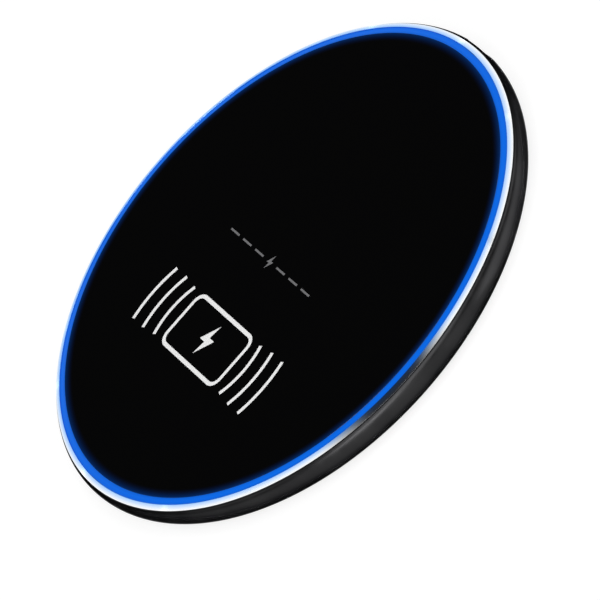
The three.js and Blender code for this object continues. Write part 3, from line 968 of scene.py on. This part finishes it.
def make_crystal():
    """A seam-welded metal can: a flange with a raised lid."""
    stance = Stance("crystal")
    deep, wide, tall = stance.size
    flange_t, lid_low, rim = 0.3 * MM, 0.2 * MM, 0.25 * MM
    flange = slab("flange", (0, 0, flange_t / 2), (deep, wide, flange_t), 0.08 * MM, 3)
    lid_size = (deep - 2 * rim, wide - 2 * rim, tall - lid_low)
    lid = slab("lid", (0, 0, (tall + lid_low) / 2), lid_size, 0.18 * MM, 4)
    stance.put("crystal_can", "crystal", flange, lid)


def make_leds():
    """Side-firing lamps: a pale body with a dished window that faces outwards."""
    ring_r, window = 41.2 * MM, 0.2 * MM
    deep, wide, tall = Vector((1.2, 3.0, 0.8)) * MM
    lens_size = (2 * window, wide * 2 / 3, tall - 0.3 * MM)
    for number, angle in enumerate(LED_ANGLES, 1):
        body = slab("body", (-window / 2, 0, tall / 2), (deep - window, wide, tall), 0.06 * MM)
        lens = slab("lens", (deep / 2 - window, 0, tall / 2), lens_size, 0.14 * MM, 4)
        lamp = joined(f"side_lamp_{number}", body, lens)
        piece(set_out(lamp, ring_r, angle, PCB_TOP), f"led_{number}")


def make_coil():
    """A flat spiral of twisted, enamelled strands."""
    base, top = span("coil_winding")
    middle, bundle_r = (base + top) / 2, (top - base) / 2
    strands, lay, steps = 6, 9 * MM, 110  # their count, the length of a twist, points in a turn
    strand_r = bundle_r / 3
    spread = bundle_r - strand_r
    made = []
    for strand in range(strands):
        path = []
        run = 0.0
        for i in range(COIL_TURNS * steps + 1):
            turn = i / steps
            r = COIL_IN + COIL_PITCH * turn
            run += 2 * math.pi * r / steps
            twist = 2 * math.pi * (strand / strands + run / lay)
            z = middle + spread * math.sin(twist)
            path.append(polar(r + spread * math.cos(twist), LEAD_ANGLE + 360 * turn, z))
        made.append(swept("strand", path, 2 * strand_r, 6))
    piece(joined("litz_coil", *made, angle=SOFT_ANGLE), "coil_winding")


def make_leads():
    """The winding's two ends, each in a sleeve, soldered to its pad on the board."""
    thick = 0.6 * MM
    top = sum(span("coil_winding")) / 2
    slot = sum(span("ferrite_shield")) / 2
    pad_z = PCB_TOP + thick / 2 + 0.05 * MM
    outer_r = COIL_IN + COIL_TURNS * COIL_PITCH
    inner_route = (
        (COIL_IN, -2.5, top), (9.6 * MM, -12, top), (7.6 * MM, -6, top - 0.2 * MM),
        (7.2 * MM, 0, top - 0.6 * MM), (9 * MM, 0, slot), (18 * MM, 0, slot), (26 * MM, 0, slot),
        (28.5 * MM, 0, pad_z),
    )
    outer_route = (
        (outer_r, 1.2, top), (outer_r + 1.6 * MM, 5, top), (26 * MM, 8, top - 0.1 * MM),
        (28 * MM, 9, top - 0.75 * MM), (29.6 * MM, 9, pad_z),
    )
    blob_r, blob_height, stretch = 0.62 * MM, 0.5 * MM, 1.7
    dome = [(blob_r * math.cos(a), PCB_TOP + blob_height * math.sin(a)) for a in QUARTER]
    joints = []
    for end, route, pad in zip(("inner", "outer"), (inner_route, outer_route), LEAD_PADS):
        node = f"coil_lead_{end}"
        path = curve_through([polar(r, LEAD_ANGLE + turn, z) for r, turn, z in route])
        piece(swept(f"{node}_wire", path, thick), node)
        blob = turned("blob", [(0, PCB_TOP), *dome], 24)
        blob.data.transform(Matrix.Diagonal((stretch, 1, 1, 1)))
        joints.append(set_out(blob, *pad))
    piece(joined("lead_solder", *joints), "socket_steel")


def make_coil_stack():
    """What lies under and over the winding: tape, ferrite, foam, and the thermistor's bead."""
    edge, tape_r, tile_r = 0.02 * MM, 24 * MM, 26 * MM
    foam_radii, cover_tape_radii = (10 * MM, 22 * MM), (44.6 * MM, 46.6 * MM)
    piece(drum("ferrite_tape", tape_r, *span("ferrite_adhesive"), edge), "ferrite_adhesive")
    tile_heights = span("ferrite_shield")
    tile = drum("ferrite_disc", tile_r, *tile_heights, 0.15 * MM, segments=SEGMENTS // 2)
    slot_from, slot_to, slot_width = 6.2 * MM, 40 * MM, 1.5 * MM
    slot_size = (slot_to - slot_from, slot_width, TOP)
    slot = slab("slot", ((slot_from + slot_to) / 2, 0, TOP / 2), slot_size)
    piece(cut(tile, set_out(slot, 0, LEAD_ANGLE)), "ferrite_shield")
    foam = washer("foam_ring", *foam_radii, *span("foam_spacer"), 0.06 * MM)
    piece(foam, "foam_spacer")
    ring = (*cover_tape_radii, *span("cover_adhesive"))
    piece(washer("cover_tape", *ring, edge, segments=SEGMENTS), "cover_adhesive")
    (base, top), r = span("thermistor"), radius("thermistor")
    dome = [(r * math.cos(a), base + (top - base) * math.sin(a)) for a in QUARTER]
    piece(turned("thermistor_bead", [(0, base), *dome], 32), "thermistor")


def make_screws():
    """Countersunk screws with a cross recess and a rolled thread, pointing up."""
    shaft, core, pitch, ridge_half = 0.95 * MM, 0.7 * MM, 0.55 * MM, 0.32
    sides, rows_per_turn = 32, 8
    arm, slot_half, slot_depth = 1.0 * MM, 0.2 * MM, 0.25 * MM
    for number, place in enumerate(SCREW_PLACES, 1):
        node = f"screw_{number}"
        (start, tip), head_r = span(node), radius(node) - place.x
        thread_from, thread_to = start + 0.6 * MM, tip - 0.3 * MM
        length = thread_to - thread_from
        rings = [
            (head_r - 0.1 * MM, start),
            (head_r, start + 0.07 * MM),
            (head_r, start + 0.14 * MM),
            (shaft, start + 0.5 * MM),
            (core, thread_from),
        ]
        rows = int(length / pitch * rows_per_turn)
        rings += [(None, thread_from + length * row / rows) for row in range(1, rows)]
        rings += [(core, thread_to), (core / 2, tip)]
        loops = []
        for r, z in rings:
            loop = []
            for i in range(sides):
                phase = ((z - thread_from) / pitch - i / sides) % 1
                ridge = max(0.0, 1 - abs(phase - 0.5) / ridge_half)
                fade = max(0.0, min(1.0, (z - thread_from) / pitch, (thread_to - z) / pitch))
                reach = core + (shaft - core) * ridge * fade if r is None else r
                loop.append(Vector((*place.xy, 0)) + polar(reach, 360 * i / sides, z))
            loops.append(loop)
        screw = loft(f"cross_screw_{number}", loops)
        for half_x, half_y in ((arm, slot_half), (slot_half, arm)):
            size = (2 * half_x, 2 * half_y, 2 * slot_depth)
            screw = cut(screw, slab("recess", (*place.xy, start), size))
        piece(screw, node)


# ---- stage, light and camera ----

VIEW_ELEVATION = math.radians(34.95)
VIEW_ROLL = math.radians(-48.74)
VIEW_DISTANCE = 1.5
VIEW_OFFSET = (3.51 * MM, -6.38 * MM)  # sideways and upward move that frames the pad off centre
LENS_MM = 530


def make_camera():
    data = bpy.data.cameras.new("camera")
    data.lens = LENS_MM
    data.sensor_width = 36
    data.clip_end = 50
    camera = linked("camera", data)
    back = Vector((math.cos(VIEW_ELEVATION), 0, math.sin(VIEW_ELEVATION)))
    roll = Matrix.Rotation(VIEW_ROLL, 4, "Z")
    pose = back.to_track_quat("Z", "Y").to_matrix().to_4x4() @ roll
    place = Vector((0, 0, TOP)) + back * VIEW_DISTANCE
    place += pose.to_3x3() @ Vector((*VIEW_OFFSET, 0))
    camera.matrix_world = Matrix.Translation(place) @ pose
    bpy.context.scene.camera = camera


def make_floor():
    """A pale sheet, a hair under the foot, so that the two faces don't share a plane."""
    half, depth = 4.0, -0.02 * MM
    corners = [(x * half, y * half, depth) for x, y in ((-1, -1), (1, -1), (1, 1), (-1, 1))]
    floor = mesh_object("floor", corners, [(0, 1, 2, 3)])
    look = Look("pale_floor", (0.25, 0.25, 0.25), 0.9, specular=0.0)
    look.set("Emission Color", (1, 1, 1, 1))
    look.set("Emission Strength", 0.8)
    floor.data.materials.append(look.material)


def area_light(name, size, radiance, pose):
    """A rectangular light that the camera doesn't see. It shines along its own -Z."""
    data = bpy.data.lights.new(name, "AREA")
    data.shape = "RECTANGLE"
    data.size, data.size_y = size
    data.energy = radiance * math.pi * data.size * data.size_y
    lamp = linked(name, data)
    lamp.matrix_world = pose
    lamp.visible_camera = False
    return lamp


def softbox(name, direction, distance, size, radiance, across=(0, 0, 1)):
    """A light that faces the pad. Its long side lies along the across direction."""
    back = Vector(direction).normalized()
    long_side = (Vector(across) - back * Vector(across).dot(back)).normalized()
    turn = Matrix((long_side.cross(back), long_side, back)).transposed().to_4x4()
    return area_light(name, size, radiance, Matrix.Translation(back * distance) @ turn)


def bevel_mirror(azimuth, distance):
    """The place that the trim's bevel at that azimuth mirrors to the camera."""
    out = polar(1, azimuth, 0)
    middle = out * (TRIM_R + GUIDE_R) / 2 + Vector((0, 0, TOP))
    fall = out * (TRIM_R - GUIDE_R) + Vector((0, 0, LAND_Z - high("trim_ring")))
    around = Vector((-out.y, out.x, 0))
    normal = fall.cross(around).normalized()
    view = (bpy.context.scene.camera.location - middle).normalized()
    return middle + (2 * view.dot(normal) * normal - view) * distance


def bevel_strip(name, start, end, fade=None, radiance=1.0, width=0.28, distance=1.1):
    """A strip light that the bevel mirrors from one azimuth to another."""
    first, last = bevel_mirror(start, distance), bevel_mirror(end, distance)
    middle, along = (first + last) / 2, first - last
    size = (width, along.length)
    lamp = softbox(name, middle, middle.length, size, radiance, across=along)
    if fade:
        fade_end(lamp.data, fade)


def fade_end(data, share):
    """Lets a light fade out towards the end of its long side, over that share of its length."""
    data.use_nodes = True
    tree = data.node_tree
    place = add_node(tree, "ShaderNodeNewGeometry", output="Parametric")
    along = add_node(tree, "ShaderNodeSeparateXYZ", {0: place}, "Y")
    inputs = {"Value": along, "From Min": 1, "From Max": 1 - share}
    ramp = add_node(tree, "ShaderNodeMapRange", inputs, interpolation_type="SMOOTHSTEP")
    tree.links.new(ramp, tree.nodes["Emission"].inputs["Strength"])


def floor_card(azimuth, radiance, size=(0.04, 0.075), start=43 * MM):
    """A pale card on the floor beside the pad, which only the low part of the wall mirrors."""
    facing_up = Matrix.Rotation(math.radians(azimuth), 4, "Z") @ Matrix.Rotation(math.pi, 4, "X")
    place = polar(start + size[0] / 2, azimuth, 0.1 * MM)
    area_light("floor_card", size, radiance, Matrix.Translation(place) @ facing_up)


def make_lights():
    """A key over the camera's side, side lights, a low front light for the wall, a card on the
    floor, and the strips that the bevel mirrors to the camera.
    """
    softbox("key", (0.67, 0, 0.743), 1.6, (1.6, 1.9), 3.0)
    for name, side, radiance in (("side_right", 1, 2.4), ("side_left", -1, 1.1)):
        softbox(name, (0.1, 0.86 * side, 0.5), 1.6, (1.1, 0.8), radiance)
    softbox("front", (0.886, -0.394, 0.242), 1.4, (0.5, 0.66), 8, across=(0.41, 0.91, 0))
    floor_card(63, 1.15)
    bevel_strip("strip_right_1", 1, 32, fade=0.4)
    bevel_strip("strip_left_1", -9, -40, fade=0.5)
    overlap = 1.2  # degrees
    for name, side, first in (("right", 1, 32), ("left", -1, 40)):
        corners = (first, 64, 95, 125, 158)
        for i, (start, end) in enumerate(zip(corners, corners[1:]), 2):
            bevel_strip(f"strip_{name}_{i}", (start - overlap) * side, end * side)


def make_world():
    """White behind everything for the camera, and nearly dark for what the pad mirrors."""
    world = bpy.data.worlds.new("studio")
    bpy.context.scene.world = world
    world.use_nodes = True
    tree = world.node_tree
    inputs = {0: add_node(tree, "ShaderNodeLightPath", output="Is Camera Ray")}
    for i, strength in ((1, 0.02), (2, 1.0)):
        backdrop = {"Color": (1, 1, 1, 1), "Strength": strength}
        inputs[i] = add_node(tree, "ShaderNodeBackground", backdrop)
    mix = add_node(tree, "ShaderNodeMixShader", inputs)
    tree.links.new(mix, tree.nodes["World Output"].inputs["Surface"])
    bpy.context.scene.view_settings.view_transform = "Standard"


# ---- assembly ----

for make in (
    make_camera, make_floor, make_lights, make_world,
    make_housing, make_bottom_cover, make_trim_ring, make_light_guide, make_cover, make_foot,
    make_label, make_centre_mark, make_phone_mark, make_usb_shell, make_usb_tongue,
    make_board, make_tracks, make_small_parts,
):
    make()
for node, pins in (("controller_chip", 8), ("bridge_chip_1", 6), ("bridge_chip_2", 6)):
    make_chip(node, pins)
make_inductor()
make_crystal()
make_two_pole("sense_resistor", 0.16, 0.08 * MM)
for number in (1, 2):
    make_two_pole(f"input_capacitor_{number}", 0.2, 0.14 * MM)
for number in (1, 2, 3, 4):
    make_two_pole(f"resonant_capacitor_{number}", 0.12, 0.2 * MM)
for make in (make_leds, make_coil, make_leads, make_coil_stack, make_screws):
    make()

for node, obj in frame["nodes"].items():
    obj.data.materials.clear()
    obj.data.materials.append(LOOKS[SLOT_OF[node]])
